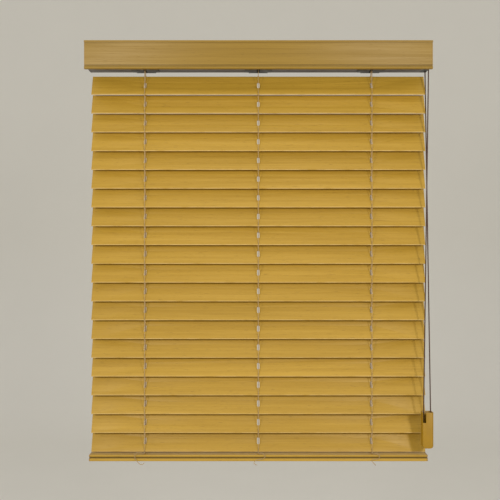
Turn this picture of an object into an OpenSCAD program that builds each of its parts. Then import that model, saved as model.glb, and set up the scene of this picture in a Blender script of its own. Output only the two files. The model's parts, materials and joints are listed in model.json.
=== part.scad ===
// Closed venetian blind, 50 mm slats, raised and tilted by a cord loop.
// Origin: centre of the fixing face on top of the headrail brackets. +X right, -Y into the room, +Z up.

/* [Slats] */
// Length of a slat
slat_len = 764; // [720:2:1200]
// Width of a slat, front edge to back edge
slat_w = 50; // [49:0.5:51]
// Thickness of a slat
slat_t = 2.8; // [2.4:0.1:3]
// Number of slats
slat_count = 20; // [14:1:20]
// Drop from one slat to the next on the hanging blind
slat_pitch = 43; // [41:0.5:44]
// Tilt of the closed slats from level
closed_angle = 65; // [62:1:65]
// Length of the route slot that the lift cord passes through
route_len = 16; // [14:0.5:18]
// Width of the route slot
route_w = 5.5; // [4:0.5:6]

/* [Ladders and cords] */
// Distance of the outer ladders from the middle one
ladder_x = 260; // [180:5:300]
// Gap between a slat's edge and a ladder string
ladder_gap = 3.8; // [3.8:0.1:4.4]
// Radius of a ladder string and of a lift cord
string_r = 0.7; // [0.5:0.05:0.7]
// Radius of the control cord
loop_r = 1.4; // [1:0.1:1.4]

/* [Headrail] */
// Width of the headrail channel, front to back
head_w = 62; // [62:1:66]
// Height of the headrail channel
head_h = 55; // [55:1:56]
// Wall of the headrail channel
head_wall = 1.2; // [0.8:0.1:1.4]
// Height of the valance
valance_h = 64; // [62:1:70]
// How far the valance runs past each end of the slats
valance_past = 10; // [10:1:12]

/* [Bottom rail] */
// Depth of the bottom rail, front to back
rail_w = 50; // [50:1:51]
// Height of the bottom rail
rail_h = 14; // [13:0.5:15]
// Thickness of a rail end cap
rail_cap_t = 3; // [2:0.5:3]

/* [Control] */
// Radius of the cord's path round the cord wheel
wheel_path_r = 22; // [18:0.5:22]
// Radius of the cord's path round the tensioner wheel
pulley_path_r = 8.5; // [7:0.5:8.5]
// Height of the tensioner
tensioner_h = 80; // [70:1:82]

/* [Hidden] */
two = function(i) i < 10 ? str("0", i) : str(i);

ladders = [-ladder_x, 0, ladder_x];
slip = 0.1;

oak = [0.66, 0.51, 0.24];
oak_dark = [0.52, 0.38, 0.14];
steel = [0.78, 0.77, 0.75];
black = [0.08, 0.07, 0.06];
pale = [0.86, 0.85, 0.82];
brown = [0.25, 0.18, 0.12];
cord_colour = [0.62, 0.48, 0.26];
control_colour = [0.28, 0.15, 0.09];
mustard = [0.62, 0.47, 0.05];

// Headrail levels
bracket_t = 1.5;
head_top = -bracket_t - 0.5;
head_bottom = head_top - head_h;
head_inner = head_w / 2 - head_wall;
channel_floor = head_bottom + head_wall;
channel_roof = head_top - head_wall;
head_left = -slat_len / 2 - 6;
head_right = slat_len / 2 - 5;
lip = 5;

// Slat levels: the top slat's centre, and each one below it
first_drop = 36.5;
first_z = head_bottom - first_drop;
function slat_z(i) = first_z - (i - 1) * slat_pitch;

// Where the ladder strings hang on the closed blind
ladder_r = slat_w / 2 + ladder_gap;
string_y = ladder_r * cos(closed_angle);
string_dz = ladder_r * sin(closed_angle);

// Bottom rail
rail_top = slat_z(slat_count) - string_dz - 0.9;
rail_len = slat_len;
string_hole_r = 1.5;
cord_hole_r = 2.5;
plug_r = 6;
plug_deep = 7;

// Drive, all on one axis
axis_z = -30;
shaft_side = 6;
hub_r = 5;
hub_half = 27;
run_fit = 0.06;
drum_r = string_y - string_r - 0.2;
drum_half = 6.5;
drum_shift = -3;
spool_r = 8;
spool_flange_r = 12;
spool_from = 5;
spool_to = 20;
flange_t = 1.5;
wound_y = spool_r + string_r + 0.2;
collar_x = 44;
collar_y = 54;

// Control end
wheel_x = head_right + 10.5;
wheel_half = 2.3;
wheel_core_r = wheel_path_r - loop_r - 0.1;
wheel_flange_r = wheel_path_r + 2;
housing_from = head_right + slip;
cavity_to = wheel_x + 2.9;
cavity_w = 6.1;
control_end = wheel_x + 4.1;

// Tensioner
tensioner_y = -46;
tensioner_top = -835;
tensioner_x = wheel_x - pulley_path_r;
tensioner_half = [12.3, 12, tensioner_h / 2];
tensioner_mid = [tensioner_x, tensioner_y, tensioner_top - tensioner_h / 2];
pulley_z = tensioner_top - 50;
pulley_core_r = pulley_path_r - loop_r - 0.1;
pulley_half = 2.6;
pulley_pin_r = 2;
pulley_pin_half = tensioner_half[1] - 0.9;

// A cylinder along X or Y, centred
module along_x(r, h) rotate([0, 90, 0]) cylinder(r = r, h = h, center = true, $fn = 64);
module along_y(r, h) rotate([90, 0, 0]) cylinder(r = r, h = h, center = true, $fn = 64);
module box(from, to) translate(from) cube(to - from);
module upright(x, y, from, to, r) translate([x, y, from]) cylinder(r = r, h = to - from, $fn = 32);

// A tube swept along points; a closed one joins its last ring to its first
function unit(v) = v / norm(v);
function ring(p, t, r, n, ref) =
    let (u = unit(cross(ref, t)), v = cross(t, u))
    [for (k = [0 : n - 1]) p + r * (cos(360 * k / n) * u + sin(360 * k / n) * v)];
module tube(points, r, ref, closed = false, n = 8) {
    m = len(points);
    last = closed ? m - 1 : m - 2;
    rings = [for (i = [0 : m - 1])
        let (a = closed ? (i + m - 1) % m : max(i - 1, 0),
             b = closed ? (i + 1) % m : min(i + 1, m - 1))
        ring(points[i], unit(points[b] - points[a]), r, n, ref)];
    sides = [for (i = [0 : last], k = [0 : n - 1])
        let (j = (i + 1) % m, q = (k + 1) % n)
        [i * n + k, j * n + k, j * n + q, i * n + q]];
    ends = closed ? [] : [[for (k = [0 : n - 1]) k], [for (k = [n - 1 : -1 : 0]) (m - 1) * n + k]];
    polyhedron(points = [for (g = rings) each g], faces = concat(sides, ends));
}

// Headrail channel, open at the top, with a window under each ladder
window_slip = 0.2;
module headrail() color(brown) difference() {
    box([head_left, -head_w / 2, head_bottom], [head_right, head_w / 2, head_top]);
    box([head_left - 1, -head_inner, channel_floor], [head_right + 1, head_inner, channel_roof]);
    box([head_left - 1, lip - head_inner, channel_floor], [head_right + 1, head_inner - lip, head_top + 1]);
    for (x = ladders)
        box([x - collar_x / 2 - window_slip, -collar_y / 2 - window_slip, head_bottom - 1],
            [x + collar_x / 2 + window_slip, collar_y / 2 + window_slip, channel_floor + 1]);
}

// Cap with a hollow spigot that closes the channel's left end
end_cap_t = 3;
spigot_deep = 10;
spigot_wall = 2;
module end_cap() color(black) {
    box([head_left - end_cap_t, -head_w / 2, head_bottom], [head_left, head_w / 2, head_top]);
    difference() {
        box([head_left, slip - head_inner, channel_floor + slip],
            [head_left + spigot_deep, head_inner - slip, channel_roof - slip]);
        box([head_left + spigot_wall, slip + spigot_wall - head_inner, channel_floor + slip + spigot_wall],
            [head_left + spigot_deep + 1, head_inner - slip - spigot_wall, head_top + 1]);
    }
}

// Two brackets that hook over the channel and take two screws each
bracket_x = slat_len / 2 - 52;
bracket_half = 20;
bracket_arm_t = 1.4;
bracket_arm_h = 13;
bracket_reach = head_w / 2 + 0.4 + bracket_arm_t;
bracket_hole_y = 16;
bracket_hole_r = 2.25;
module mounting_brackets() color(steel) for (x = [-bracket_x, bracket_x]) difference() {
    union() {
        box([x - bracket_half, -bracket_reach, -bracket_t], [x + bracket_half, bracket_reach, 0]);
        for (y = [-bracket_reach, bracket_reach - bracket_arm_t])
            box([x - bracket_half, y, -bracket_arm_h - 1], [x + bracket_half, y + bracket_arm_t, -1]);
    }
    for (s = [-1, 1]) translate([x, s * bracket_hole_y, -5])
        cylinder(r = bracket_hole_r, h = 10, $fn = 48);
}

// Valance: a moulded board with a crown lip, a quirk and a bead at the foot
valance_half = slat_len / 2 + valance_past;
valance_back = -38;
valance_t = 8;
crown_h = 4.5;
crown_out = 2.5;
bead_r = 2.6;
quirk_z = 9;
quirk_h = 1.6;
quirk_deep = 2;
valance_top = -0.5;
module valance_section() {
    front = valance_back - valance_t;
    difference() {
        translate([front, -valance_h]) square([valance_t, valance_h + valance_top]);
        translate([front - 1, quirk_z - quirk_h - valance_h]) square([1 + quirk_deep, quirk_h]);
        translate([front - 1, -valance_h - 1]) square([2.2, 2 * bead_r + 1]);
    }
    translate([front - crown_out, -crown_h]) square([crown_out + 1, crown_h + valance_top]);
    translate([front + 1.2, bead_r - valance_h]) circle(r = bead_r, $fn = 48);
}

module valance() color(oak)
    translate([-valance_half, 0, 0]) rotate([90, 0, 90]) linear_extrude(2 * valance_half) valance_section();

// Clips between the headrail's front wall and the valance: a pad, a rib and a plate on the headrail
clip_places = [-0.275, 0.17, 0.38];
clip_half = 12;
clip_rib_half = 10;
clip_pad_t = 1.8;
clip_plate_t = 1.4;
module valance_clips() color([0.85, 0.83, 0.76]) for (place = clip_places) {
    x = round(place * slat_len);
    pad_back = valance_back + slip + clip_pad_t;
    rail_face = -head_w / 2 - slip;
    box([x - clip_half, valance_back + slip, -40], [x + clip_half, pad_back, -16]);
    box([x - clip_rib_half, pad_back, -30], [x + clip_rib_half, rail_face, -27]);
    box([x - clip_rib_half, rail_face - clip_plate_t, -46], [x + clip_rib_half, rail_face, -18]);
}

// Cradle that carries a drum and a spool over each ladder
cheek_x = 22.5;
cheek_t = 3;
cheek_half = 9;
cradle_flange_x = 31;
cradle_flange_y = 20;
cradle_flange_t = 2.3;
cradle_foot_x = 29;
cradle_foot_t = 2.5;
cord_way_x = 3.2;
cord_way_y = 24.5;
module ladder_cradles() color(black) for (x = ladders) difference() {
    union() {
        below = head_bottom - slip;
        above = channel_floor + slip;
        box([x - cradle_flange_x, -cradle_flange_y, below - cradle_flange_t],
            [x + cradle_flange_x, cradle_flange_y, below]);
        box([x - collar_x / 2, -collar_y / 2, below - cradle_flange_t],
            [x + collar_x / 2, collar_y / 2, above]);
        box([x - cradle_foot_x, 2 * slip - head_inner, above],
            [x + cradle_foot_x, head_inner - 2 * slip, above + cradle_foot_t]);
        for (s = [-1, 1]) {
            box([x + s * cheek_x - cheek_t / 2, -cheek_half, above],
                [x + s * cheek_x + cheek_t / 2, cheek_half, axis_z]);
            translate([x + s * cheek_x, 0, axis_z]) along_x(cheek_half, cheek_t);
        }
    }
    box([x - cord_way_x, -cord_way_y, head_bottom - 5], [x + cord_way_x, cord_way_y, head_bottom + 8]);
    translate([x, 0, axis_z]) along_x(hub_r + run_fit, 80);
}

// Drum that winds one ladder string up as it lets the other down
drum_flange_r = drum_r + 2.2;
module tilt_drums() color(pale) for (x = ladders) translate([x + drum_shift, 0, axis_z]) difference() {
    union() {
        along_x(drum_r, 2 * drum_half);
        for (s = [-1, 1]) translate([s * drum_half, 0, 0]) along_x(drum_flange_r, flange_t);
    }
    along_x(hub_r + run_fit, 20);
}

// Square shaft through every spool to the cord wheel
shaft_from = head_left + 8;
shaft_to = wheel_x + 1.8;
module drive_shaft() color(steel)
    box([shaft_from, -shaft_side / 2, axis_z - shaft_side / 2],
        [shaft_to, shaft_side / 2, axis_z + shaft_side / 2]);

module square_bore(from, to) {
    half = shaft_side / 2 + slip;
    box([from, -half, -half], [to, half, half]);
}

// Spool on the shaft that winds a lift cord
module lift_spools() color(pale) for (x = ladders) translate([x, 0, axis_z]) difference() {
    union() {
        along_x(hub_r, 2 * hub_half);
        translate([(spool_from + spool_to) / 2, 0, 0]) along_x(spool_r, spool_to - spool_from);
        for (f = [spool_from + flange_t / 2, spool_to - flange_t / 2])
            translate([f, 0, 0]) along_x(spool_flange_r, flange_t);
    }
    square_bore(-hub_half - 1, hub_half + 1);
}

// Grooved wheel that the control cord turns, with a hub that turns in the housing
wheel_flange_t = 0.6;
wheel_hub_from = head_right + 3.4;
module cord_wheel() color(black) translate([wheel_x, 0, axis_z]) difference() {
    union() {
        along_x(wheel_core_r, 2 * wheel_half);
        for (s = [-1, 1])
            translate([s * (wheel_half - wheel_flange_t / 2), 0, 0]) along_x(wheel_flange_r, wheel_flange_t);
        translate([wheel_hub_from - wheel_x, 0, 0]) rotate([0, 90, 0])
            cylinder(r = hub_r, h = wheel_x - wheel_hub_from, $fn = 64);
    }
    square_bore(-20, 10);
}

// Housing at the channel's right end, with a cord way on each side of the wheel
cavity_r = wheel_flange_r + 0.7;
housing_plug = 8;
strand_way = 4.5;
module clutch_housing() color(black) difference() {
    union() {
        box([housing_from, -head_w / 2, head_bottom], [control_end, head_w / 2, head_top]);
        box([head_right - housing_plug, slip - head_inner, channel_floor + slip],
            [housing_from, head_inner - slip, channel_roof - slip]);
    }
    translate([cavity_to - cavity_w / 2, 0, axis_z]) along_x(cavity_r, cavity_w);
    translate([head_right - housing_plug - 1, 0, axis_z]) rotate([0, 90, 0])
        cylinder(r = hub_r + run_fit, h = cavity_to - head_right + 5, $fn = 64);
    for (s = [-1, 1])
        box([wheel_x - 2.6, s * wheel_path_r - strand_way, head_bottom - 1],
            [cavity_to, s * wheel_path_r + strand_way, axis_z]);
}

// Upper ends of the cords: ladder strings up to the drums, lift cords up to the spools
module head_cords() color(cord_colour) for (x = ladders) {
    upright(x, -string_y, slat_z(1) - string_dz, axis_z, string_r);
    upright(x, string_y, slat_z(1) + string_dz, axis_z, string_r);
    tube([[x, 0, slat_z(1) - slat_pitch / 2], [x, 0, head_bottom + 6], [x + 6, wound_y, head_bottom + 9],
        [x + 9, wound_y, axis_z - 8], [x + 9, wound_y, axis_z]], string_r, [1, 0, 0]);
}

// Control cord: over the wheel, down behind, round the tensioner wheel and up in front
arc_steps = 24;
strand_steps = 12;
module cord_loop() color(control_colour) {
    over_wheel = [for (k = [0 : arc_steps]) let (a = 180 * k / arc_steps)
        [wheel_x, -wheel_path_r * cos(a), axis_z + wheel_path_r * sin(a)]];
    under_pulley = [for (k = [0 : arc_steps]) let (a = 180 * k / arc_steps)
        [tensioner_x + pulley_path_r * cos(a), tensioner_y, pulley_z - pulley_path_r * sin(a)]];
    between = function(a, b, n) [for (k = [1 : n]) a + (b - a) * k / (n + 1)];
    front_top = over_wheel[0];
    back_top = over_wheel[arc_steps];
    right_low = under_pulley[0];
    left_low = under_pulley[arc_steps];
    tube(concat(over_wheel, between(back_top, right_low, strand_steps), under_pulley,
        between(left_low, front_top, strand_steps)),
        loop_r, [1, 1, 0], true);
}

// Tensioner: a hollow case screwed to the reveal, open at the top, notched at its front corner
case_wall = 1.8;
case_hole_y = 5;
case_hole_z = 28;
case_hole_r = 1.75;
corner_r = 4;
mouth_deep = 8;
notch_from = 1.2;
notch_w = 6.8;
notch_h = 23;
module case_shape(inset) {
    h = tensioner_half - [inset, inset, inset];
    r = corner_r - inset;
    linear_extrude(2 * h[2], center = true) {
        square([2 * h[0] - 2 * r, 2 * h[1]], center = true);
        square([2 * h[0], 2 * h[1] - 2 * r], center = true);
        for (sx = [-1, 1], sy = [-1, 1])
            translate([sx * (h[0] - r), sy * (h[1] - r)]) circle(r = r, $fn = 32);
    }
}
module tensioner_body() color(mustard) translate(tensioner_mid) difference() {
    inner = tensioner_half - [case_wall, case_wall, 0];
    case_shape(0);
    translate([0, 0, case_wall]) case_shape(case_wall);
    box([-inner[0], -inner[1], inner[2] - mouth_deep], [inner[0], inner[1], inner[2] + 1]);
    translate([notch_from - tensioner_half[0], -tensioner_half[1] - 1, tensioner_half[2] - notch_h])
        cube([notch_w, 8, notch_h + 1]);
    for (s = [-1, 1]) translate([tensioner_half[0], case_hole_y, s * case_hole_z]) along_x(case_hole_r, 10);
    translate([0, 0, pulley_z - tensioner_mid[2]])
        along_y(pulley_pin_r + run_fit, 2 * pulley_pin_half + 0.2);
}

// Grooved wheel and its own pin inside the tensioner
pulley_flange_t = 1;
module tensioner_wheel() color(pale) translate([tensioner_x, tensioner_y, pulley_z]) {
    along_y(pulley_core_r, 2 * pulley_half);
    for (s = [-1, 1]) translate([0, s * (pulley_half + pulley_flange_t / 2), 0])
        along_y(pulley_path_r + 1, pulley_flange_t);
    along_y(pulley_pin_r, 2 * pulley_pin_half);
}

// Bottom rail: a solid bar with rounded edges and a groove along its front and its back
groove_deep = 4.5;
groove_from = 3.5;
groove_h = 4;
edge_r = 1.5;
rail_bottom = rail_top - rail_h;
module rail_section() difference() {
    union() {
        translate([edge_r - rail_w / 2, -rail_h]) square([rail_w - 2 * edge_r, rail_h]);
        translate([-rail_w / 2, edge_r - rail_h]) square([rail_w, rail_h - 2 * edge_r]);
        for (sx = [-1, 1], z = [-edge_r, edge_r - rail_h])
            translate([sx * (rail_w / 2 - edge_r), z]) circle(r = edge_r, $fn = 32);
    }
    for (s = [-1, 1])
        translate([s * rail_w / 2 - groove_deep, -groove_from - groove_h])
            square([2 * groove_deep, groove_h]);
}
module rail_bar(from, to)
    translate([from, 0, rail_top]) rotate([90, 0, 90]) linear_extrude(to - from) rail_section();
cap_pin_r = 1.5;
cap_pin_y = 15;
cap_pin_z = rail_top - rail_h / 2 - 2;
module bottom_rail() color(oak) difference() {
    rail_bar(-rail_len / 2, rail_len / 2);
    for (x = ladders) {
        upright(x, 0, rail_bottom - 1, rail_top + 1, cord_hole_r);
        for (s = [-1, 1]) upright(x, s * string_y, rail_bottom - 1, rail_top + 1, string_hole_r);
        upright(x, 0, rail_bottom - 1, rail_bottom + plug_deep, plug_r);
    }
    for (sx = [-1, 1], sy = [-1, 1])
        translate([sx * rail_len / 2, sy * cap_pin_y, cap_pin_z]) along_x(cap_pin_r + 0.05, 14);
}
module rail_end_caps() color(oak_dark) for (s = [-1, 1]) {
    inner = s * (rail_len / 2 + 0.05);
    outer = s * (rail_len / 2 + rail_cap_t);
    rail_bar(min(inner, outer), max(inner, outer));
    for (sy = [-1, 1]) translate([s * (rail_len / 2 - 2), sy * cap_pin_y, cap_pin_z]) along_x(cap_pin_r, 7);
}

// Button under the rail that hides and holds the knot
button_r = 8.5;
button_t = 1.6;
plug_wall = 1.6;
module cord_plugs() color(oak_dark) for (x = ladders) difference() {
    union() {
        upright(x, 0, rail_bottom - button_t, rail_bottom - 0.05, button_r);
        upright(x, 0, rail_bottom - 0.5, rail_bottom + plug_deep - 1.5, plug_r - 0.05);
    }
    upright(x, 0, rail_bottom, rail_top, plug_r - plug_wall);
}

// Ladder strings between the first and the last slat
module strings(side) color(cord_colour) for (x = ladders)
    upright(x, side * string_y, slat_z(slat_count) + side * string_dz,
        slat_z(1) + side * string_dz, string_r);
module front_strings() strings(-1);
module rear_strings() strings(1);

// Loose ends of the ladder strings, looped in front of the rail
knot_r = 2.2;
knot_up = 2.7;
tail_left = [[0, -15, 1], [-4, -18, 3], [-10, -21, 5], [-16, -24, 5], [-20, -27, 1], [-20, -28.2, -5],
    [-17, -28.2, -11], [-12, -28, -17], [-7, -27.5, -20.5], [-2, -27, -20], [1, -27, -17]];
tail_mid = [[0, -15, 1], [4, -18, 3], [10, -23, 3], [15, -27, -1], [13, -28.2, -6], [6, -28.2, -8.5],
    [-1, -28.2, -9], [-7, -28.2, -12], [-10, -28, -16.5], [-7, -27.5, -20.5], [-3, -27, -22]];
tail_right = [[0, -15, 1], [5, -19, 3], [11, -24, 3], [15, -27.5, -1.5], [13, -28.4, -6.5], [7, -28.4, -8.5],
    [1, -28.4, -8.5], [-3, -28.2, -11.5], [0, -28, -16], [4, -27.5, -20], [6, -27, -23]];
function smooth(p, n) = let (m = len(p)) concat([for (i = [0 : m - 2], k = [0 : n - 1])
    let (t = k / n, a = p[max(i - 1, 0)], b = p[i], c = p[i + 1], d = p[min(i + 2, m - 1)])
    (2 * b + (c - a) * t + (2 * a - 5 * b + 4 * c - d) * t * t
        + (3 * b - a - 3 * c + d) * t * t * t) / 2], [p[m - 1]]);
module rail_cords() color(cord_colour) {
    routes = [tail_left, tail_mid, tail_right];
    knot_z = rail_bottom + knot_up;
    for (x = ladders) {
        upright(x, 0, knot_z, slat_z(slat_count) - slat_pitch / 2, string_r);
        upright(x, string_y, rail_top - 6, slat_z(slat_count) + string_dz, string_r);
        translate([x, 0, knot_z]) sphere(r = knot_r, $fn = 32);
    }
    for (j = [0 : 2])
        tube([for (p = smooth(routes[j], 2)) p + [ladders[j], 0, rail_top]], string_r, [0.4, 0.9, 0.3]);
}

// One slat with rounded edges and a route slot at each ladder
module slat(i) color(oak) translate([0, 0, slat_z(i)]) rotate([closed_angle, 0, 0]) difference() {
    union() {
        cube([slat_len, slat_w - slat_t, slat_t], center = true);
        for (s = [-1, 1]) translate([0, s * (slat_w - slat_t) / 2, 0]) along_x(slat_t / 2, slat_len);
    }
    for (x = ladders) translate([x, 0, 0]) {
        cube([route_w, route_len - route_w, 2 * slat_t], center = true);
        for (s = [-1, 1]) translate([0, s * (route_len - route_w) / 2, 0])
            cylinder(r = route_w / 2, h = 2 * slat_t, center = true, $fn = 32);
    }
}

// Lift cords, in one length for each level so that they shorten as the blind rises
module lift_cord(i) color(cord_colour) for (x = ladders)
    upright(x, 0, slat_z(i) - slat_pitch / 2, slat_z(i) + slat_pitch / 2, string_r);

headrail();
end_cap();
mounting_brackets();
valance();
valance_clips();
ladder_cradles();
tilt_drums();
drive_shaft();
lift_spools();
cord_wheel();
clutch_housing();
head_cords();
cord_loop();
tensioner_body();
tensioner_wheel();
bottom_rail();
rail_end_caps();
cord_plugs();
front_strings();
rear_strings();
rail_cords();
for (i = [1 : slat_count])
    slat(i);
for (i = [2 : slat_count])
    lift_cord(i);
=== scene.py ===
"""Looks of a corded venetian blind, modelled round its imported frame. Sizes are in metres."""
import json
import math

import bpy
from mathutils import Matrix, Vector
from mathutils.bvhtree import BVHTree

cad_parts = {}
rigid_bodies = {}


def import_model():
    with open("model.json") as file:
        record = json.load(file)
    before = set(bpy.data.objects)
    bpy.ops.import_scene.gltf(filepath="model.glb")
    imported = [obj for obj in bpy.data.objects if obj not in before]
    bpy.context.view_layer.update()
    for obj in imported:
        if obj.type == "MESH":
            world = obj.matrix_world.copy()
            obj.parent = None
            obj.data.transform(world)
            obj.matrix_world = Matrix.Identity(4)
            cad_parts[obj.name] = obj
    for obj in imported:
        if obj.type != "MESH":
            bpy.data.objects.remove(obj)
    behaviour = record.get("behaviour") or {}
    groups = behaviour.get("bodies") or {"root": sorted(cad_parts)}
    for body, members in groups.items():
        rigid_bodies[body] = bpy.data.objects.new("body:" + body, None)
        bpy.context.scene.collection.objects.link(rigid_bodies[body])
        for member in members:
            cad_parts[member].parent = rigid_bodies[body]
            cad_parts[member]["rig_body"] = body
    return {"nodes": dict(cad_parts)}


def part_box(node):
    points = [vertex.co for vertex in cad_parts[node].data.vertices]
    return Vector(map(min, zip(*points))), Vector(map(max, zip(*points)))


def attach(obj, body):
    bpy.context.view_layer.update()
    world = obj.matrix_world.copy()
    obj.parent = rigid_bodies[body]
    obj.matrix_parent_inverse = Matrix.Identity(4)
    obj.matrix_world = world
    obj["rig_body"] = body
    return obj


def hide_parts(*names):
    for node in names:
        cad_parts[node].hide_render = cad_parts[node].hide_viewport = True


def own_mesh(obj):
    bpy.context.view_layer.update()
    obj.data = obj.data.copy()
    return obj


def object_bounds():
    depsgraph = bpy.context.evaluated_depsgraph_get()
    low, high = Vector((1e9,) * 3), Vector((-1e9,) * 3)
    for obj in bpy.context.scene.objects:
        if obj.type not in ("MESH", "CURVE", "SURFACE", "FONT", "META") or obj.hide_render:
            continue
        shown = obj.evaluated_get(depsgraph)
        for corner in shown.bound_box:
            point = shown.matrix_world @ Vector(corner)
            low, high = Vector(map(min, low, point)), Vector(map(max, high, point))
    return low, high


bl_info = {
    "name": "Venetian Blind Looks",
    "version": (1, 0, 0),
    "blender": (4, 5, 0),
    "location": "View3D > Sidebar > Blind",
    "description": "Builds the wood, cords, hardware and studio of a corded venetian blind",
    "category": "Object",
}

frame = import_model()
CAD_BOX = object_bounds()

STRING_R = 0.0007  # radius of the ladder strings and the lift cords

# Places that the frame gives
SLAT_COUNT = sum(name.startswith("slat_") for name in frame["nodes"])
LOW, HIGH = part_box("front_strings")
LADDERS = (LOW.x + STRING_R, 0.0, HIGH.x - STRING_R)
STRING_Y = -(LOW.y + HIGH.y) / 2
FRONT_HOOK_Z = HIGH.z
REAR_HOOK_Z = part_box("rear_strings")[1].z
FIRST_SLAT_Z = (FRONT_HOOK_Z + REAR_HOOK_Z) / 2
PITCH = (HIGH.z - LOW.z) / (SLAT_COUNT - 1)
CLOSED = math.atan2((REAR_HOOK_Z - FRONT_HOOK_Z) / 2, STRING_Y)
LADDER_R = math.hypot(STRING_Y, (REAR_HOOK_Z - FRONT_HOOK_Z) / 2)
RAIL_LOW, RAIL_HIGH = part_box("bottom_rail")
AXIS_Z = sum(corner.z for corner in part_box("drive_shaft")) / 2
UP = (0, 0, 1)

# Sizes that the frame doesn't give
SLAT_HALF = 0.025  # half a slat's width
SLAT_ROUND = 0.0014  # half its thickness, and the rounding of its edges
FOOT_ROUND = 0.0055  # rounding of the tensioner's lower corners
FOOT_STEPS = 6
CORD_STEP = 0.0015  # from one ring of points to the next along a string
CONTROL_STEP = 0.002
RUNG_STEP = 0.0025
TAIL_STEPS = 6  # points on a loose end for each point of its route
RUNG_INSET = 0.0006  # from the middle of a ladder string to the end of a rung
RUNG_BEND = 0.0035  # from that end to where the rung lies along the slat
RUNG_GAP = 0.0001
RUNG_SPREAD = 0.0034  # from the lift cord to the rung on each side of it
RUNG_ASIDE = (0.0004, 0.8, 1, 0.8, 0.0004)  # share of that spread at each point of a rung
KNOT_X, KNOT_Y = 0.0013, 0.0009  # half widths of a knot
KNOT_FORWARD = 0.0136  # from the ladder's middle to its knot
KNOT_BASE, KNOT_RISE = 0.0008, 0.00022  # height of the first turn, and the rise for each radian
KNOT_POINTS = 20
RAIL_SINK = 0.006  # depth of the strings' ends in the rail
BUTTON_TOP = 0.0027  # height of a lift cord's end above the rail's underside
SPOOL_SIDE = 0.009  # from the ladder's middle to where its lift cord meets the spool
SPOOL_RUN = 0.008  # straight run of the cord below that
RISER_SIDE = 0.006  # where the cord leaves the cradle: aside, and above the headrail's floor

# Finishes that several materials share
EASED_FACE = 1  # material index that marks a bevelled face
# Lighter oak for edges: wear on the eased edges, and a painted highlight on the slats' round edges where they
# catch the light
WORN_AND_HIGHLIT_OAK = (0.62, 0.43, 0.15)
DUST = (0.52, 0.48, 0.41)
# Colour of the painted shade laid in grooves and hollows that light hardly reaches
PAINTED_SHADE = (0.035, 0.018, 0.004)
PAINTED_SHADE_SHARE = 0.6
DUST_ROUGHNESS = 0.3  # added where dust lies thickest
FIGURE_ROUGHNESS = 0.14  # spread of roughness over grain or mottling
TONE_SPREAD = 0.05  # how much darker the darkest slat is
TONE_STEPS = 5
GRAIN_SHIFT = 1.37  # move of the grain from one slat to the next

# Studio
AIM_X, AIM_UP = -0.019, 0.009  # the camera's aim, from the middle of the blind
SIDE_LIGHT = (1.05, -1.85, -0.15)
SIDE_LIGHT_SIZE = 0.22
CEILING_LIGHT = (0, -0.9, 1.6)
CEILING_LIGHT_SIZE = 1.8
CEILING_SHARE = 0.7  # of a side light's power
SWEEP_SIZE = 16
SWEEP_FORWARD = -2
SWEEP_DROP = 0.95  # from the lowest tail to the floor
WALL_HEIGHT = 7
SWEEP_CURVE = 1.6


def slat_z(i):
    """Height of a slat's middle, counted from 1 at the top."""
    return FIRST_SLAT_Z - (i - 1) * PITCH


# ---------------------------------------------------------------- settings

def colour(name, value, description):
    return bpy.props.FloatVectorProperty(
        name=name, description=description, subtype="COLOR", size=3, min=0, max=1, default=value)


class BlindWood(bpy.types.PropertyGroup):
    """Finish of the slats, the valance and the rail."""
    light: colour("Light grain", (0.50, 0.305, 0.040), "Colour between the grain lines")
    dark: colour("Dark grain", (0.335, 0.19, 0.014), "Colour of the grain lines")
    fleck: colour("Fleck", (0.12, 0.055, 0.006), "Colour of the short pores")
    # The valance's oak is darker than the slats', and darkened further as painted shade to offset the
    # stronger light on its upright face
    valance: bpy.props.FloatProperty(
        name="Valance tone", description="Brightness of the valance beside the slats",
        default=0.63, min=0.5, max=1.2)
    eased: bpy.props.FloatProperty(
        name="Eased edge", description="Rounding of the boards' sharp edges",
        default=0.0004, min=0.0001, max=0.001, unit="LENGTH")


class BlindCords(bpy.types.PropertyGroup):
    """Sizes and colours of the cords."""
    string_radius: bpy.props.FloatProperty(
        name="String radius", description="Radius of the ladder strings and the lift cords",
        default=STRING_R, min=0.0004, max=0.001, unit="LENGTH")
    rung_radius: bpy.props.FloatProperty(
        name="Rung radius", description="Radius of the ladders' cross strings",
        default=0.0004, min=0.0002, max=0.0006, unit="LENGTH")
    control_radius: bpy.props.FloatProperty(
        name="Control cord radius", description="Radius of the cord that raises the blind",
        default=0.0014, min=0.0008, max=0.0016, unit="LENGTH")
    string: colour("String", (0.50, 0.335, 0.145), "Colour of the ladder strings")
    # Dark brown control cord, darkened further to the deep shade it hangs in at the blind's right end: partly
    # painted shade
    control: colour("Control cord", (0.070, 0.024, 0.010), "Colour of the control cord")


class BlindHardware(bpy.types.PropertyGroup):
    """Finish of the metal and moulded pieces."""
    # Dark brown headrail, set as dark as its shaded underside looks below the valance: its own colour with
    # painted shade in it
    rail: colour("Headrail", (0.042, 0.023, 0.011), "Powder coat on the headrail")
    steel: colour("Painted steel", (0.66, 0.65, 0.61), "Powder coat on the brackets")
    black: colour("Black plastic", (0.022, 0.019, 0.016), "Cradles, end cap and clutch housing")
    white: colour("White plastic", (0.68, 0.66, 0.60), "Drums, spools and the tensioner's wheel")
    mustard: colour("Tensioner", (0.33, 0.178, 0.001), "The moulded tensioner")
    rail_trim: colour("Rail trim", (0.36, 0.215, 0.05), "The rail's end caps and buttons")


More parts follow.
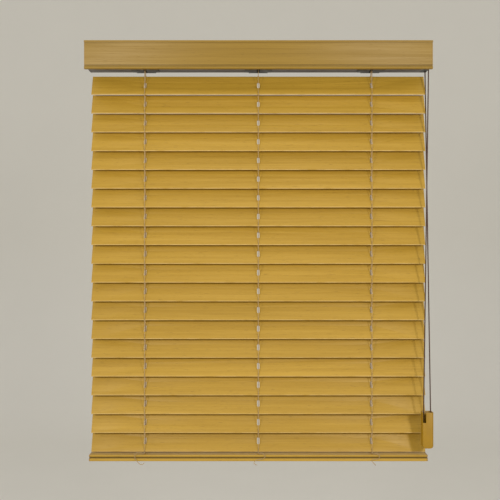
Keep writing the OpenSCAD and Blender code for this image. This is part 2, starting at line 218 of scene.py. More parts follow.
class BlindStudio(bpy.types.PropertyGroup):
    """Camera, floor and lights."""
    distance: bpy.props.FloatProperty(
        name="Camera distance", description="From the camera to the blind",
        default=2.0, min=1, max=5, unit="LENGTH")
    lens: bpy.props.FloatProperty(
        name="Lens", description="Focal length in millimetres", default=62.6, min=20, max=200)
    key: bpy.props.FloatProperty(
        name="Side lights", description="Power of each side light", default=16, min=0, max=300)
    room: bpy.props.FloatProperty(
        name="Room light", description="Strength of the even light", default=0.6, min=0, max=3)
    paper: colour("Backdrop", (0.84, 0.815, 0.745), "The pale floor and wall")


# ---------------------------------------------------------------- making meshes

def deselect():
    if bpy.context.object and bpy.context.object.mode != "OBJECT":
        bpy.ops.object.mode_set(mode="OBJECT")
    bpy.ops.object.select_all(action="DESELECT")


def take(piece):
    """Makes a piece the only selected one, and the active one."""
    deselect()
    piece.select_set(True)
    bpy.context.view_layer.objects.active = piece


def mark_surface(piece, highlit_places):
    """Stores where a piece's edges get lighter (wear, and a painted highlight on the slats' round edges), and
    how far its faces are sheltered from light, for painted shade in its grooves.
    """
    reach, lean_share, lift_off = 0.005, 0.9, 2e-5
    mesh = piece.data
    tree = BVHTree.FromPolygons([v.co for v in mesh.vertices], [p.vertices for p in mesh.polygons])
    rubbed_and_highlit = mesh.attributes.new("Rubbed", "FLOAT", "FACE")
    sheltered = mesh.attributes.new("Sheltered", "FLOAT", "FACE")
    for face in mesh.polygons:
        rubbed_and_highlit.data[face.index].value = float(face.material_index == EASED_FACE or highlit_places(face.center))
        hits = 0
        for lean in map(Vector, ((0, 0, 0), (0, 0, 1), (0, 0, -1), (0, 1, 0), (0, -1, 0))):
            way = (face.normal + lean_share * (lean - lean.dot(face.normal) * face.normal)).normalized()
            hits += tree.ray_cast(face.center + lift_off * face.normal, way, reach)[0] is not None
        sheltered.data[face.index].value = min(1, hits / 2)
        face.material_index = 0


def finished_copy(cad, name, ease, segments=2, smooth=35, highlit_places=lambda place: False):
    """A welded copy of a CAD node with eased edges, standing for it; the last argument tells other places
    whose edges are painted lighter, a painted highlight on the slats' round edges.
    """
    source = frame["nodes"][cad]
    piece = bpy.data.objects.new(name, source.data.copy())
    bpy.context.scene.collection.objects.link(piece)
    piece.data.materials.clear()
    for _ in range(EASED_FACE + 1):
        piece.data.materials.append(None)
    take(piece)
    bpy.ops.mesh.customdata_custom_splitnormals_clear()
    bpy.ops.object.mode_set(mode="EDIT")
    bpy.ops.mesh.select_all(action="SELECT")
    bpy.ops.mesh.remove_doubles(threshold=2e-6)
    bpy.ops.mesh.dissolve_limited(angle_limit=math.radians(0.5))
    bpy.ops.object.mode_set(mode="OBJECT")
    bevel = piece.modifiers.new("Eased edges", "BEVEL")
    bevel.width = ease
    bevel.segments = segments
    bevel.limit_method = "ANGLE"
    bevel.angle_limit = math.radians(smooth)
    bevel.use_clamp_overlap = True
    bevel.material = EASED_FACE
    bpy.ops.object.modifier_apply(modifier=bevel.name)
    mark_surface(piece, highlit_places)
    bpy.ops.object.shade_smooth_by_angle(angle=math.radians(smooth))
    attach(piece, source["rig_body"])
    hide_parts(cad)
    return piece


def resampled(points, step):
    """Points at even steps along a route."""
    points = [Vector(p) for p in points]
    out = [points[0]]
    for a, b in zip(points, points[1:]):
        count = max(1, round((b - a).length / step))
        out += [a.lerp(b, k / count) for k in range(1, count + 1)]
    return out


def smooth_route(route, n):
    """The curve that passes through a route's points, as the frame's own cords do."""
    points = [Vector(p) for p in route]
    out = []
    for i in range(len(points) - 1):
        a, b, c = points[max(i - 1, 0)], points[i], points[i + 1]
        d = points[min(i + 2, len(points) - 1)]
        for k in range(n):
            t = k / n
            out.append((2 * b + (c - a) * t + (2 * a - 5 * b + 4 * c - d) * t ** 2
                        + (3 * b - a - 3 * c + d) * t ** 3) / 2)
    return out + [points[-1]]


def braided(name, routes, radius, sides=8, relief=0.07):
    """Braided cords as one mesh of closed tubes, with a UV map whose cells are square."""
    verts, faces, weave = [], [], []
    for points in routes:
        start = len(verts)
        runs_sideways = abs((points[1] - points[0]).normalized().x) >= 0.9
        side = Vector((0, 1, 0)) if runs_sideways else Vector((1, 0, 0))
        along = [0.0]
        for i, p in enumerate(points):
            t = (points[min(i + 1, len(points) - 1)] - points[max(i - 1, 0)]).normalized()
            side = (side - side.dot(t) * t).normalized()
            other = t.cross(side)
            if i:
                along.append(along[-1] + (p - points[i - 1]).length)
            for k in range(sides):
                angle = 2 * math.pi * k / sides
                r = radius * (1 - relief * ((i + k) % 2))
                verts.append(p + r * (math.cos(angle) * side + math.sin(angle) * other))
        wrap = 2 * math.pi * radius
        for i in range(len(points) - 1):
            for k in range(sides):
                q = (k + 1) % sides
                faces.append([start + i * sides + k, start + i * sides + q,
                              start + (i + 1) * sides + q, start + (i + 1) * sides + k])
                u0, u1 = k / sides, (k + 1) / sides
                v0, v1 = along[i] / wrap, along[i + 1] / wrap
                weave += [(u0, v0), (u1, v0), (u1, v1), (u0, v1)]
        last = start + (len(points) - 1) * sides
        faces.append([start + k for k in reversed(range(sides))])
        faces.append([last + k for k in range(sides)])
        weave += [(0.5, 0.5)] * (2 * sides)
    mesh = bpy.data.meshes.new(name)
    mesh.from_pydata(verts, [], faces)
    uv = mesh.uv_layers.new(name="Weave")
    uv.data.foreach_set("uv", [c for pair in weave for c in pair])
    piece = bpy.data.objects.new(name, mesh)
    bpy.context.scene.collection.objects.link(piece)
    take(piece)
    bpy.ops.object.shade_smooth()
    return piece


def upright(x, y, low, high):
    """Points down a straight string."""
    return resampled([(x, y, high), (x, y, low)], CORD_STEP)


def cord_material(piece, material):
    """Gives a cord its braid material."""
    piece.data.materials.append(material)


# ---------------------------------------------------------------- materials

def node(tree, kind, values=(), **settings):
    """A node with its settings, and values for its inputs by name or number."""
    made = tree.nodes.new(kind)
    for key, value in settings.items():
        setattr(made, key, value)
    for key, value in dict(values).items():
        made.inputs[key].default_value = value
    return made


def new_group(name, inputs, outputs):
    """An empty node group with named float or colour sockets."""
    tree = bpy.data.node_groups.new(name, "ShaderNodeTree")
    for side, sockets in (("INPUT", inputs), ("OUTPUT", outputs)):
        for socket, kind in sockets.items():
            tree.interface.new_socket(name=socket, in_out=side, socket_type="NodeSocket" + kind)
    return tree, tree.nodes.new("NodeGroupInput"), tree.nodes.new("NodeGroupOutput")


def placed(tree, group, values=()):
    """A shared group, with values for its inputs."""
    return node(tree, "ShaderNodeGroup", values, node_tree=bpy.data.node_groups[group])


def stretched_noise(tree, point, scale, detail, rough):
    """Noise on points scaled differently along X, Y and Z."""
    mapping = node(tree, "ShaderNodeMapping", {"Scale": scale})
    tree.links.new(point, mapping.inputs["Vector"])
    noise = node(tree, "ShaderNodeTexNoise", {"Scale": 1, "Detail": detail, "Roughness": rough})
    tree.links.new(mapping.outputs[0], noise.inputs["Vector"])
    return noise.outputs["Fac"]


def ramp(tree, value, low, high):
    """A mask that rises from 0 at low to 1 at high."""
    made = node(tree, "ShaderNodeMapRange", {"From Min": low, "From Max": high})
    tree.links.new(value, made.inputs["Value"])
    return made.outputs["Result"]


def maths(tree, operation, a, b):
    made = node(tree, "ShaderNodeMath", operation=operation)
    for socket, value in zip(made.inputs, (a, b)):
        if isinstance(value, (int, float)):
            socket.default_value = value
        else:
            tree.links.new(value, socket)
    return made.outputs[0]


def mixed(tree, mask, a, b, blend="MIX"):
    """Colour a where the mask is 0 and b where it is 1."""
    made = node(tree, "ShaderNodeMix", data_type="RGBA", blend_type=blend)
    for socket, value in ((made.inputs[0], mask), (made.inputs[6], a), (made.inputs[7], b)):
        if isinstance(value, (int, float)):
            socket.default_value = value
        elif hasattr(value, "is_linked"):
            tree.links.new(value, socket)
        else:
            socket.default_value = (*value, 1)
    return made.outputs[2]


def build_wood_grain():
    """Grain lines and pores along X."""
    tree, given, result = new_group(
        "Wood grain", {"Point": "Vector", "Light": "Color", "Dark": "Color", "Fleck": "Color"},
        {"Color": "Color", "Height": "Float", "Figure": "Float"})
    fine = stretched_noise(tree, given.outputs["Point"], (9, 900, 900), 5, 0.62)
    broad = stretched_noise(tree, given.outputs["Point"], (2.2, 130, 130), 3, 0.5)
    tone = stretched_noise(tree, given.outputs["Point"], (1.1, 17, 17), 2, 0.5)
    pores = stretched_noise(tree, given.outputs["Point"], (55, 1500, 1500), 2, 0.4)
    figure = maths(tree, "ADD", maths(tree, "MULTIPLY", ramp(tree, fine, 0.36, 0.66), 0.55),
                   maths(tree, "MULTIPLY", ramp(tree, broad, 0.35, 0.68), 0.45))
    shade = maths(tree, "ADD", maths(tree, "MULTIPLY", figure, 0.62),
                  maths(tree, "MULTIPLY", ramp(tree, tone, 0.3, 0.7), 0.3))
    fleck = ramp(tree, pores, 0.66, 0.74)
    grained = mixed(tree, shade, given.outputs["Light"], given.outputs["Dark"])
    flecked = mixed(tree, maths(tree, "MULTIPLY", fleck, 0.55), grained, given.outputs["Fleck"])
    tree.links.new(flecked, result.inputs["Color"])
    sunk = maths(tree, "ADD", maths(tree, "MULTIPLY", figure, 0.5), fleck)
    tree.links.new(maths(tree, "SUBTRACT", 1, sunk), result.inputs["Height"])
    tree.links.new(figure, result.inputs["Figure"])


def build_settled_dust():
    """Patchy dust on faces that point up."""
    tree, given, result = new_group(
        "Settled dust", {"Point": "Vector", "Color": "Color", "Amount": "Float"},
        {"Color": "Color", "Mask": "Float"})
    geometry = node(tree, "ShaderNodeNewGeometry")
    split = node(tree, "ShaderNodeSeparateXYZ")
    tree.links.new(geometry.outputs["Normal"], split.inputs[0])
    cloud = stretched_noise(tree, given.outputs["Point"], (35, 35, 35), 5, 0.65)
    mask = maths(tree, "MULTIPLY", ramp(tree, split.outputs["Z"], 0.55, 1.0), ramp(tree, cloud, 0.38, 0.7))
    mask = maths(tree, "MULTIPLY", mask, given.outputs["Amount"])
    tree.links.new(mixed(tree, mask, given.outputs["Color"], DUST), result.inputs["Color"])
    tree.links.new(mask, result.inputs["Mask"])


def build_wear_and_painted_light():
    """Lighter edges and painted shade in the grooves, from what mark_surface stores: the lighter edges are
    wear, and on the slats' round edges a painted highlight.
    """
    tree, given, result = new_group(
        "Worn edges", {"Point": "Vector", "Color": "Color", "Worn": "Color", "Amount": "Float"},
        {"Color": "Color", "Mask": "Float"})
    rubbed_and_highlit = node(tree, "ShaderNodeAttribute", attribute_name="Rubbed").outputs["Fac"]
    sheltered = node(tree, "ShaderNodeAttribute", attribute_name="Sheltered").outputs["Fac"]
    edge_patches = stretched_noise(tree, given.outputs["Point"], (24, 180, 180), 4, 0.6)
    mask = maths(tree, "MULTIPLY", rubbed_and_highlit, ramp(tree, edge_patches, 0.3, 0.55))
    mask = maths(tree, "MULTIPLY", mask, given.outputs["Amount"])
    rubbed_and_highlit_colour = mixed(tree, mask, given.outputs["Color"], given.outputs["Worn"])
    # Faces sheltered from light are darkened here: painted shade
    painted_shade_mask = maths(tree, "MULTIPLY", sheltered, PAINTED_SHADE_SHARE)
    tree.links.new(mixed(tree, painted_shade_mask, rubbed_and_highlit_colour, PAINTED_SHADE), result.inputs["Color"])
    tree.links.new(mask, result.inputs["Mask"])


def build_braid():
    """Two sets of strands that cross round a cord, with painted shade in the grooves between them."""
    tree, given, result = new_group(
        "Braid", {"Weave": "Vector", "Light": "Color", "Dark": "Color"},
        {"Color": "Color", "Height": "Float"})
    heights = []
    for turn in (1, -1):
        mapping = node(tree, "ShaderNodeMapping", {"Scale": (4, 2 * turn, 1)})
        tree.links.new(given.outputs["Weave"], mapping.inputs["Vector"])
        split = node(tree, "ShaderNodeSeparateXYZ")
        tree.links.new(mapping.outputs[0], split.inputs[0])
        across = maths(tree, "ADD", split.outputs["X"], split.outputs["Y"])
        wave = maths(tree, "SINE", maths(tree, "MULTIPLY", across, math.pi), 0)
        heights.append(maths(tree, "ABSOLUTE", wave, 0))
    plait = maths(tree, "MAXIMUM", *heights)
    fuzz = stretched_noise(tree, given.outputs["Weave"], (30, 9, 1), 3, 0.6)
    shade = maths(tree, "ADD", maths(tree, "MULTIPLY", ramp(tree, plait, 0.5, 1), 0.75),
                  maths(tree, "MULTIPLY", fuzz, 0.3))
    tree.links.new(mixed(tree, shade, given.outputs["Dark"], given.outputs["Light"]), result.inputs["Color"])
    tree.links.new(plait, result.inputs["Height"])


def new_material(name, **shader):
    """A material, its tree and its shader, whose even values are set on the shader's own sockets."""
    material = bpy.data.materials.new(name)
    material.use_nodes = True
    tree = material.node_tree
    principled = tree.nodes["Principled BSDF"]
    for key, value in shader.items():
        principled.inputs[key.replace("_", " ")].default_value = value
    return material, tree, principled


def add_bump(tree, principled, height, strength, distance):
    bump = node(tree, "ShaderNodeBump", {"Strength": strength, "Distance": distance})
    tree.links.new(height, bump.inputs["Height"])
    tree.links.new(bump.outputs[0], principled.inputs["Normal"])


def weathered(tree, principled, point, colour, worn_and_highlit, edge_lightening, dust, rough):
    """Lightens a surface's edges (wear, and on the slats' round edges a painted highlight), paints shade into
    its grooves, settles dust on it, and makes it rougher where the dust lies.
    """
    rubbed_and_highlit = placed(tree, "Worn edges", {"Worn": (*worn_and_highlit, 1), "Amount": edge_lightening})
    dusty = placed(tree, "Settled dust", {"Amount": dust})
    for group, source in ((rubbed_and_highlit, colour), (dusty, rubbed_and_highlit.outputs["Color"])):
        tree.links.new(source, group.inputs["Color"])
        tree.links.new(point, group.inputs["Point"])
    tree.links.new(dusty.outputs["Color"], principled.inputs["Base Color"])
    added = maths(tree, "MULTIPLY", dusty.outputs["Mask"], DUST_ROUGHNESS)
    tree.links.new(maths(tree, "ADD", rough, added), principled.inputs["Roughness"])


def wood(name, tone, shift, dust):
    """Satin oak with the grain along X."""
    look = bpy.context.scene.blind_wood
    material, tree, principled = new_material(
        name, Coat_Weight=0.04, Coat_Roughness=0.35, Specular_IOR_Level=0.3)
    move = node(tree, "ShaderNodeMapping", {"Location": (shift, 0, 0)})
    tree.links.new(node(tree, "ShaderNodeTexCoord").outputs["Object"], move.inputs["Vector"])
    shades = {key: (*(tone * c for c in getattr(look, key.lower())), 1)
              for key in ("Light", "Dark", "Fleck")}
    grain = placed(tree, "Wood grain", shades)
    tree.links.new(move.outputs[0], grain.inputs["Point"])
    rough = maths(tree, "ADD", 0.4, maths(tree, "MULTIPLY", grain.outputs["Figure"], FIGURE_ROUGHNESS))
    # Edges get the lighter oak: wear, and on the slats' round edges a painted highlight; sheltered grooves
    # get painted shade
    weathered(tree, principled, move.outputs[0], grain.outputs["Color"],
              tuple(tone * c for c in WORN_AND_HIGHLIT_OAK), 0.8, dust, rough)
    add_bump(tree, principled, grain.outputs["Height"], 0.22, 0.0003)
    return material


def moulded(name, base, rough=0.48, grain=1400, dust=0.25, edge_lightening=0.4):
    """Moulded plastic or powder coat: fine stipple, rubbed edges, painted shade in its grooves and a little
    dust.
    """
    material, tree, principled = new_material(name)
    point = node(tree, "ShaderNodeTexCoord").outputs["Object"]
    stipple = stretched_noise(tree, point, (grain, grain, grain), 2, 0.5)
    cloud = stretched_noise(tree, point, (26, 26, 26), 4, 0.6)
    deep = tuple(c * 0.82 for c in base)
    mottled = mixed(tree, ramp(tree, cloud, 0.35, 0.7), base, deep)
    uneven = maths(tree, "ADD", rough - 0.06, maths(tree, "MULTIPLY", cloud, FIGURE_ROUGHNESS))
    weathered(tree, principled, point, mottled, tuple(min(1, c * 1.25 + 0.03) for c in base),
              edge_lightening, dust, uneven)
    add_bump(tree, principled, stipple, 0.12, 0.0001)
    return material


def drawn_steel(name):
    """Bright drawn steel with fine lines along X."""
    material, tree, principled = new_material(name, Metallic=1.0)
    point = node(tree, "ShaderNodeTexCoord").outputs["Object"]
    lines = stretched_noise(tree, point, (12, 2200, 2200), 3, 0.6)
    streaked = mixed(tree, lines, (0.62, 0.61, 0.59), (0.42, 0.41, 0.40))
    rough = maths(tree, "ADD", 0.24, maths(tree, "MULTIPLY", lines, 0.2))
    tree.links.new(streaked, principled.inputs["Base Color"])
    tree.links.new(rough, principled.inputs["Roughness"])
    add_bump(tree, principled, lines, 0.1, 0.0001)
    return material


def braid(name, light):
    """Braided polyester cord."""
    material, tree, principled = new_material(name, Roughness=0.72, Sheen_Weight=0.25, Sheen_Roughness=0.4)
    uv = node(tree, "ShaderNodeUVMap", uv_map="Weave")
    # Dark, a third of the light colour, is painted shade between the strands
    made = placed(tree, "Braid", {"Light": (*light, 1), "Dark": (*(c * 0.32 for c in light), 1)})
    tree.links.new(uv.outputs[0], made.inputs["Weave"])
    tree.links.new(made.outputs["Color"], principled.inputs["Base Color"])
    add_bump(tree, principled, made.outputs["Height"], 0.5, 0.0002)
    return material


MATERIALS = {}


def dress(piece, material):
    """Gives a piece its one material."""
    piece.data.materials.clear()
    piece.data.materials.append(MATERIALS[material])


# ---------------------------------------------------------------- operators

class BuildFinishes(bpy.types.Operator):
    """Makes every material"""
    bl_idname = "blind.finishes"
    bl_label = "Finishes"

    def execute(self, context):
        for build in (build_wood_grain, build_settled_dust, build_wear_and_painted_light, build_braid):
            build()
        cords, ware = context.scene.blind_cords, context.scene.blind_hardware
        MATERIALS["valance"] = wood("valance_oak", context.scene.blind_wood.valance, 3.7, 0.05)
        MATERIALS["rail"] = wood("rail_oak", 1.0, 8.3, 0.05)
        for i in range(SLAT_COUNT):
            tone = 1.0 - TONE_SPREAD * ((i * 7) % TONE_STEPS) / (TONE_STEPS - 1)
            MATERIALS[f"slat {i + 1}"] = wood(f"slat_oak_{i + 1:02d}", tone, GRAIN_SHIFT * i, 0.1)
        MATERIALS["headrail"] = moulded("powder_coated_headrail", tuple(ware.rail), 0.42, 900)
        MATERIALS["steel"] = moulded("powder_coated_steel", tuple(ware.steel), 0.42, 900)
        MATERIALS["black"] = moulded("black_moulding", tuple(ware.black), 0.5)
        MATERIALS["white"] = moulded("white_moulding", tuple(ware.white), 0.46)
        MATERIALS["mustard"] = moulded("tensioner_moulding", tuple(ware.mustard), 0.4, 1100, 0.12, 0.5)
        MATERIALS["trim"] = moulded("rail_trim_moulding", tuple(ware.rail_trim), 0.44, 1200, 0.15)
        MATERIALS["shaft"] = drawn_steel("drawn_shaft_steel")
        MATERIALS["string"] = braid("ladder_braid", tuple(cords.string))
        MATERIALS["control"] = braid("control_braid", tuple(cords.control))
        return {"FINISHED"}


def must_lie_in(cad, points):
    """Fails with a plain message if a point lies outside a CAD node's box by more than a millimetre."""
    low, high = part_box(cad)
    spare = 0.001
    for p in points:
        if any(p[k] < low[k] - spare or p[k] > high[k] + spare for k in range(3)):
            raise RuntimeError(f"{tuple(p)} is outside {cad}")


TAILS = {  # routes of the loose ends, from each ladder's foot on the rail's top
    "tail_left": [(0, -.015, .001), (-.004, -.018, .003), (-.010, -.021, .005), (-.016, -.024, .005),
                  (-.020, -.027, .001), (-.020, -.0282, -.005), (-.017, -.0282, -.011), (-.012, -.028, -.017),
                  (-.007, -.0275, -.0205), (-.002, -.027, -.020), (.001, -.027, -.017)],
    "tail_middle": [(0, -.015, .001), (.004, -.018, .003), (.010, -.023, .003), (.015, -.027, -.001),
                    (.013, -.0282, -.006), (.006, -.0282, -.0085), (-.001, -.0282, -.009),
                    (-.007, -.0282, -.012), (-.010, -.028, -.0165), (-.007, -.0275, -.0205),
                    (-.003, -.027, -.022)],
    "tail_right": [(0, -.015, .001), (.005, -.019, .003), (.011, -.024, .003), (.015, -.0275, -.0015),
                   (.013, -.0284, -.0065), (.007, -.0284, -.0085), (.001, -.0284, -.0085),
                   (-.003, -.0282, -.0115), (0, -.028, -.016), (.004, -.0275, -.020), (.006, -.027, -.023)],
}


class BuildTails(bpy.types.Operator):
    """Makes the loose cord ends that hang over the rail, and the knots they leave"""
    bl_idname = "blind.tails"
    bl_label = "Loose Ends"

    def execute(self, context):
        radius = context.scene.blind_cords.string_radius
        knots = []
        for x, (name, route) in zip(LADDERS, TAILS.items()):
            foot = Vector((x, 0, RAIL_HIGH.z))
            points = smooth_route([foot + Vector(p) for p in route], TAIL_STEPS)
            must_lie_in("rail_cords", points)
            tail = braided(name, [points], radius, relief=0.05)
            cord_material(tail, MATERIALS["string"])
            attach(tail, "rail")
            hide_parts("rail_cords")
            angles = (k * math.pi / 6 for k in range(KNOT_POINTS))
            knots.append([foot + Vector((KNOT_X * math.cos(a), KNOT_Y * math.sin(a) - KNOT_FORWARD,
                                         KNOT_BASE + KNOT_RISE * a)) for a in angles])
        wraps = braided("string_knots", knots, radius * 0.9, relief=0.05)
        cord_material(wraps, MATERIALS["string"])
        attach(wraps, "rail")
        return {"FINISHED"}


class BuildControl(bpy.types.Operator):
    """Makes the control cord that runs from the headrail round the tensioner's wheel"""
    bl_idname = "blind.control"
    bl_label = "Control Cord"

    def execute(self, context):
        radius = context.scene.blind_cords.control_radius
        loop_low, loop_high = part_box("cord_loop")
        wheel_low, wheel_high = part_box("cord_wheel")
        idler_low, idler_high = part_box("tensioner_wheel")
        wheel_r = loop_high.z - radius - AXIS_Z
        idler = (idler_low + idler_high) / 2
        idler_r = idler.z - loop_low.z - radius
        wheel_x = loop_high.x - radius
        mouth_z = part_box("clutch_housing")[0].z
        across = lambda a: Vector((idler.x - idler_r * math.cos(a), idler.y, idler.z - idler_r * math.sin(a)))
        front_top, back_top = Vector((wheel_x, -wheel_r, AXIS_Z)), Vector((wheel_x, wheel_r, AXIS_Z))
        turn = [across(math.pi * k / 24) for k in range(25)]
        drop = lambda top, end: top.lerp(end, (top.z - mouth_z) / (top.z - end.z))
        front_way, back_way = drop(front_top, turn[0]), drop(back_top, turn[-1])
        points = (resampled([front_way, turn[0]], CONTROL_STEP) + turn[1:]
                  + resampled([turn[-1], back_way], CONTROL_STEP)[1:])
        cord = braided("control_cord", [points], radius, sides=10, relief=0.05)
        cord_material(cord, MATERIALS["control"])
        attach(cord, "root")
        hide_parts("cord_loop")
        arc = [Vector((wheel_x, -wheel_r * math.cos(a), AXIS_Z + wheel_r * math.sin(a)))
               for a in (math.pi * k / 32 for k in range(33))]
        inside = (resampled([front_way, front_top], CONTROL_STEP) + arc[1:]
                  + resampled([back_top, back_way], CONTROL_STEP)[1:])
        hidden = braided("control_cord_over_wheel", [inside], radius * 0.98, sides=10, relief=0.05)
        cord_material(hidden, MATERIALS["control"])
        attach(hidden, "root")
        return {"FINISHED"}


class BuildLadders(bpy.types.Operator):
    """Makes the ladder strings, their rungs under each slat and their ends at the headrail and the rail"""
    bl_idname = "blind.ladders"
    bl_label = "Ladders"

    def execute(self, context):
        radius = context.scene.blind_cords.string_radius
        drop = (SLAT_COUNT - 1) * PITCH
        for name, body, cad, y, hook in (
                ("front_ladder_cords", "front_ladder", "front_strings", -STRING_Y, FRONT_HOOK_Z),
                ("rear_ladder_cords", "rear_ladder", "rear_strings", STRING_Y, REAR_HOOK_Z)):
            strings = braided(name, [upright(x, y, hook - drop, hook) for x in LADDERS], radius)
            cord_material(strings, MATERIALS["string"])
            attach(strings, body)
            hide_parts(cad)
            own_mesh(strings)
        thin = radius * 0.9
        high, low = max(FRONT_HOOK_Z, REAR_HOOK_Z), min(FRONT_HOOK_Z, REAR_HOOK_Z)
        strings_at = [(x, y) for x in LADDERS for y in (-STRING_Y, STRING_Y)]
        upper = [upright(x, y, low, AXIS_Z) for x, y in strings_at]
        lower = [upright(x, y, RAIL_HIGH.z - RAIL_SINK, high - drop) for x, y in strings_at]
        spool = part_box("head_cords")[1].y - radius
        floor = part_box("headrail")[0].z
        for x in LADDERS:
            route = [(x, 0, FIRST_SLAT_Z - PITCH / 2), (x, 0, floor + RISER_SIDE),
                     (x + RISER_SIDE, spool, floor + SPOOL_SIDE),
                     (x + SPOOL_SIDE, spool, AXIS_Z - SPOOL_RUN), (x + SPOOL_SIDE, spool, AXIS_Z)]
            upper.append(resampled(route, CORD_STEP))
            lower.append(upright(x, 0, RAIL_LOW.z + BUTTON_TOP, slat_z(SLAT_COUNT) - PITCH / 2))
        for name, body, cad, routes in (("head_cord_runs", "root", "head_cords", upper),
                                        ("rail_cord_runs", "rail", "rail_cords", lower)):
            ends = braided(name, routes, thin)
            cord_material(ends, MATERIALS["string"])
            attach(ends, body)
            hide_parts(cad)
        self.rungs(context.scene.blind_cords.rung_radius)
        return {"FINISHED"}

    def rungs(self, radius):
        """Two cross strings under every slat at each ladder, one on each side of the lift cord."""
        half = LADDER_R - RUNG_INSET
        under = -(SLAT_ROUND + radius + RUNG_GAP)
        profile = [(-half, 0), (-half + RUNG_BEND, under), (0, under), (half - RUNG_BEND, under), (half, 0)]
        c, s = math.cos(CLOSED), math.sin(CLOSED)
        for i in range(1, SLAT_COUNT + 1):
            routes = []
            for x in LADDERS:
                for side in (-RUNG_SPREAD, RUNG_SPREAD):
                    route = [(x + side * k, y * c - z * s, slat_z(i) + y * s + z * c)
                             for k, (y, z) in zip(RUNG_ASIDE, profile)]
                    routes.append(resampled(route, RUNG_STEP))
            rungs = braided(f"ladder_rungs_{i:02d}", routes, radius, sides=6)
            cord_material(rungs, MATERIALS["string"])
            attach(rungs, f"slat_{i:02d}")


class BuildLiftCords(bpy.types.Operator):
    """Makes the lift cords, one length at each level so that they shorten as the blind rises"""
    bl_idname = "blind.lift_cords"
    bl_label = "Lift Cords"

    def execute(self, context):
        radius = context.scene.blind_cords.string_radius
        for i in range(2, SLAT_COUNT + 1):
            middle = slat_z(i)
            routes = [upright(x, 0, middle - PITCH / 2, middle + PITCH / 2) for x in LADDERS]
            cords = braided(f"lift_cords_{i:02d}", routes, radius)
            cord_material(cords, MATERIALS["string"])
            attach(cords, f"level_{i:02d}")
            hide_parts(f"lift_cord_{i:02d}")
            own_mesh(cords)
        return {"FINISHED"}


class BuildSlats(bpy.types.Operator):
    """Makes every slat from its own CAD node, each with its own mesh and grain"""
    bl_idname = "blind.slats"
    bl_label = "Slats"

    def execute(self, context):
        ease = context.scene.blind_wood.eased
        for i in range(1, SLAT_COUNT + 1):
            # The slats' round edges are painted lighter: a painted highlight where they catch the light
            edge = lambda place: math.hypot(place.y, place.z - slat_z(i)) > SLAT_HALF - SLAT_ROUND
            slat = finished_copy(f"slat_{i:02d}", f"oak_slat_{i:02d}", ease * 0.7, highlit_places=edge)
            dress(slat, f"slat {i}")
        return {"FINISHED"}


class BuildValance(bpy.types.Operator):
    """Makes the valance board"""
    bl_idname = "blind.valance"
    bl_label = "Valance"

    def execute(self, context):
        board = finished_copy("valance", "valance_board", context.scene.blind_wood.eased, 3)
        dress(board, "valance")
        return {"FINISHED"}


class BuildRail(bpy.types.Operator):
    """Makes the bottom rail, its end caps and its buttons"""
    bl_idname = "blind.rail"
    bl_label = "Bottom Rail"

    def execute(self, context):
        ease = context.scene.blind_wood.eased
        dress(finished_copy("bottom_rail", "rail_board", ease), "rail")
        dress(finished_copy("rail_end_caps", "rail_caps", ease), "trim")
        dress(finished_copy("cord_plugs", "cord_buttons", ease), "trim")
        return {"FINISHED"}


class BuildHeadrail(bpy.types.Operator):
    """Makes the headrail, its brackets, caps and clips, and finishes the gear inside"""
    bl_idname = "blind.headrail"
    bl_label = "Headrail"

    def execute(self, context):
        for cad, name, ease, material, slot in (
                ("headrail", "headrail_channel", 0.0004, "headrail", "headrail_steel"),
                ("mounting_brackets", "hook_brackets", 0.0003, "steel", "bracket_steel"),
                ("end_cap", "left_end_cap", 0.0004, "black", "black_plastic"),
                ("clutch_housing", "control_housing", 0.0004, "black", "black_plastic"),
                ("ladder_cradles", "cradles", 0.0003, "black", "black_plastic"),
                ("valance_clips", "board_clips", 0.0003, "white", "clip_plastic")):
            dress(finished_copy(cad, name, ease), material)
        for cad, material in (("tilt_drums", "white"), ("lift_spools", "white"), ("cord_wheel", "black"),
                              ("tensioner_wheel", "white"), ("drive_shaft", "shaft")):
            node_object = frame["nodes"][cad]
            node_object.data.materials.clear()
            node_object.data.materials.append(MATERIALS[material])
        return {"FINISHED"}


class BuildTensioner(bpy.types.Operator):
    """Makes the tensioner's case"""
    bl_idname = "blind.tensioner"
    bl_label = "Tensioner"

    def execute(self, context):
        case = finished_copy("tensioner_body", "tensioner_case", 0.0006, 3)
        low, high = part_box("tensioner_body")
        take(case)
        for k in range(1, FOOT_STEPS + 1):
            height = low.z + FOOT_ROUND * (1 - math.cos(math.pi / 2 * k / FOOT_STEPS))
            bpy.ops.object.mode_set(mode="EDIT")
            bpy.ops.mesh.select_all(action="SELECT")
            bpy.ops.mesh.bisect(plane_co=(0, 0, height), plane_no=UP)
            bpy.ops.object.mode_set(mode="OBJECT")
        middle, half = (low.x + high.x) / 2, (high.x - low.x) / 2
        for vertex in case.data.vertices:
            up = (vertex.co.z - low.z) / FOOT_ROUND
            if up < 1:
                drawn_in = FOOT_ROUND * (1 - math.sqrt(1 - (1 - max(up, 0)) ** 2))
                vertex.co.x = middle + (vertex.co.x - middle) * (half - drawn_in) / half
        dress(case, "mustard")
        return {"FINISHED"}


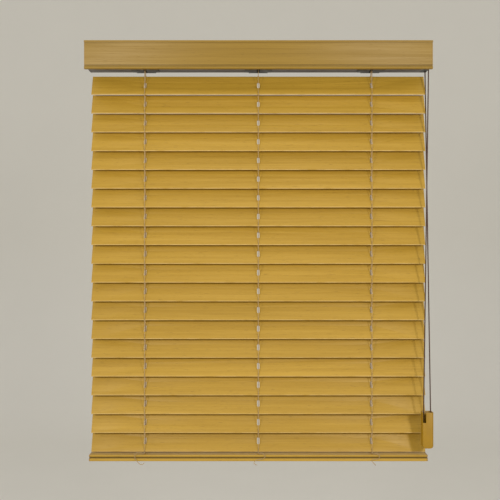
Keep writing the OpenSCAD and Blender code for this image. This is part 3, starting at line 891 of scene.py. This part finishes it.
class BuildStudio(bpy.types.Operator):
    """Makes the camera, the pale sweep and the soft lights"""
    bl_idname = "blind.studio"
    bl_label = "Studio"

    def execute(self, context):
        look = context.scene.blind_studio
        low, high = CAD_BOX
        middle = Vector((AIM_X, 0, (low.z + high.z) / 2 + AIM_UP))
        camera = bpy.data.objects.new("camera", bpy.data.cameras.new("camera"))
        context.scene.collection.objects.link(camera)
        camera.data.lens = look.lens
        camera.data.sensor_width = 36
        camera.location = middle + Vector((0, -look.distance, 0))
        camera.rotation_euler = (math.radians(90), 0, 0)
        context.scene.camera = camera
        self.sweep(look, low)
        x, y, z = SIDE_LIGHT
        for name, side in (("side_light_left", -1), ("side_light_right", 1)):
            self.light(name, (side * x, y, z), SIDE_LIGHT_SIZE, look.key, middle)
        self.light("ceiling_light", CEILING_LIGHT, CEILING_LIGHT_SIZE, look.key * CEILING_SHARE, middle)
        world = bpy.data.worlds.new("room_light")
        world.use_nodes = True
        background = world.node_tree.nodes["Background"]
        background.inputs["Color"].default_value = (1, 0.985, 0.96, 1)
        background.inputs["Strength"].default_value = look.room
        context.scene.world = world
        context.scene.view_settings.view_transform = "Standard"
        return {"FINISHED"}

    def light(self, name, place, size, power, aim):
        """A warm square light that points at the aim."""
        data = bpy.data.lights.new(name, "AREA")
        data.size = size
        data.energy = power
        data.color = (1, 0.97, 0.92)
        light = bpy.data.objects.new(name, data)
        bpy.context.scene.collection.objects.link(light)
        light.location = place
        light.rotation_euler = (Vector(aim) - Vector(place)).to_track_quat("-Z", "Y").to_euler()

    def sweep(self, look, low):
        """A floor well under the blind that curves up into a wall far behind it."""
        deselect()
        bpy.ops.mesh.primitive_plane_add(size=SWEEP_SIZE, location=(0, SWEEP_FORWARD, low.z - SWEEP_DROP))
        sweep = bpy.context.object
        sweep.name = "sweep"
        bpy.ops.object.mode_set(mode="EDIT")
        bpy.ops.mesh.select_all(action="DESELECT")
        bpy.ops.object.mode_set(mode="OBJECT")
        for edge in sweep.data.edges:
            edge.select = all(sweep.data.vertices[v].co.y > SWEEP_SIZE / 2 - 1 for v in edge.vertices)
        bpy.ops.object.mode_set(mode="EDIT")
        bpy.ops.mesh.select_mode(type="EDGE")
        bpy.ops.mesh.extrude_region_move(TRANSFORM_OT_translate={"value": (0, 0, WALL_HEIGHT)})
        bpy.ops.object.mode_set(mode="OBJECT")
        bevel = sweep.modifiers.new("Curve", "BEVEL")
        bevel.width = SWEEP_CURVE
        bevel.segments = 16
        bpy.ops.object.modifier_apply(modifier=bevel.name)
        bpy.ops.object.shade_smooth()
        material, tree, principled = new_material("pale_paper", Roughness=0.9)
        point = node(tree, "ShaderNodeTexCoord").outputs["Object"]
        fibre = stretched_noise(tree, point, (3, 3, 3), 3, 0.5)
        paper = tuple(look.paper)
        fibrous = mixed(tree, fibre, paper, tuple(c * 0.97 for c in paper))
        tree.links.new(fibrous, principled.inputs["Base Color"])
        sweep.data.materials.append(material)


OPERATORS = (BuildStudio, BuildFinishes, BuildTails, BuildControl, BuildLadders, BuildLiftCords,
             BuildSlats, BuildValance, BuildRail, BuildHeadrail, BuildTensioner)
SETTINGS = {"blind_wood": BlindWood, "blind_cords": BlindCords,
            "blind_hardware": BlindHardware, "blind_studio": BlindStudio}


class BlindPanel(bpy.types.Panel):
    """Lists the blind's settings and its pieces"""
    bl_idname = "VIEW3D_PT_blind"
    bl_label = "Venetian Blind"
    bl_space_type = "VIEW_3D"
    bl_region_type = "UI"
    bl_category = "Blind"

    def draw(self, context):
        for setting in SETTINGS:
            box = self.layout.box()
            group = getattr(context.scene, setting)
            for name in group.__annotations__:
                box.prop(group, name)
        for operator in OPERATORS:
            self.layout.operator(operator.bl_idname)


def register():
    for setting, group in SETTINGS.items():
        bpy.utils.register_class(group)
        setattr(bpy.types.Scene, setting, bpy.props.PointerProperty(type=group))
    for item in (*OPERATORS, BlindPanel):
        bpy.utils.register_class(item)


def unregister():
    for item in reversed((*OPERATORS, BlindPanel)):
        bpy.utils.unregister_class(item)
    for setting, group in SETTINGS.items():
        delattr(bpy.types.Scene, setting)
        bpy.utils.unregister_class(group)


def main():
    register()
    for operator in OPERATORS:
        group, name = operator.bl_idname.split(".")
        getattr(getattr(bpy.ops, group), name)()
    bpy.context.view_layer.update()


if __name__ == "__main__":
    main()
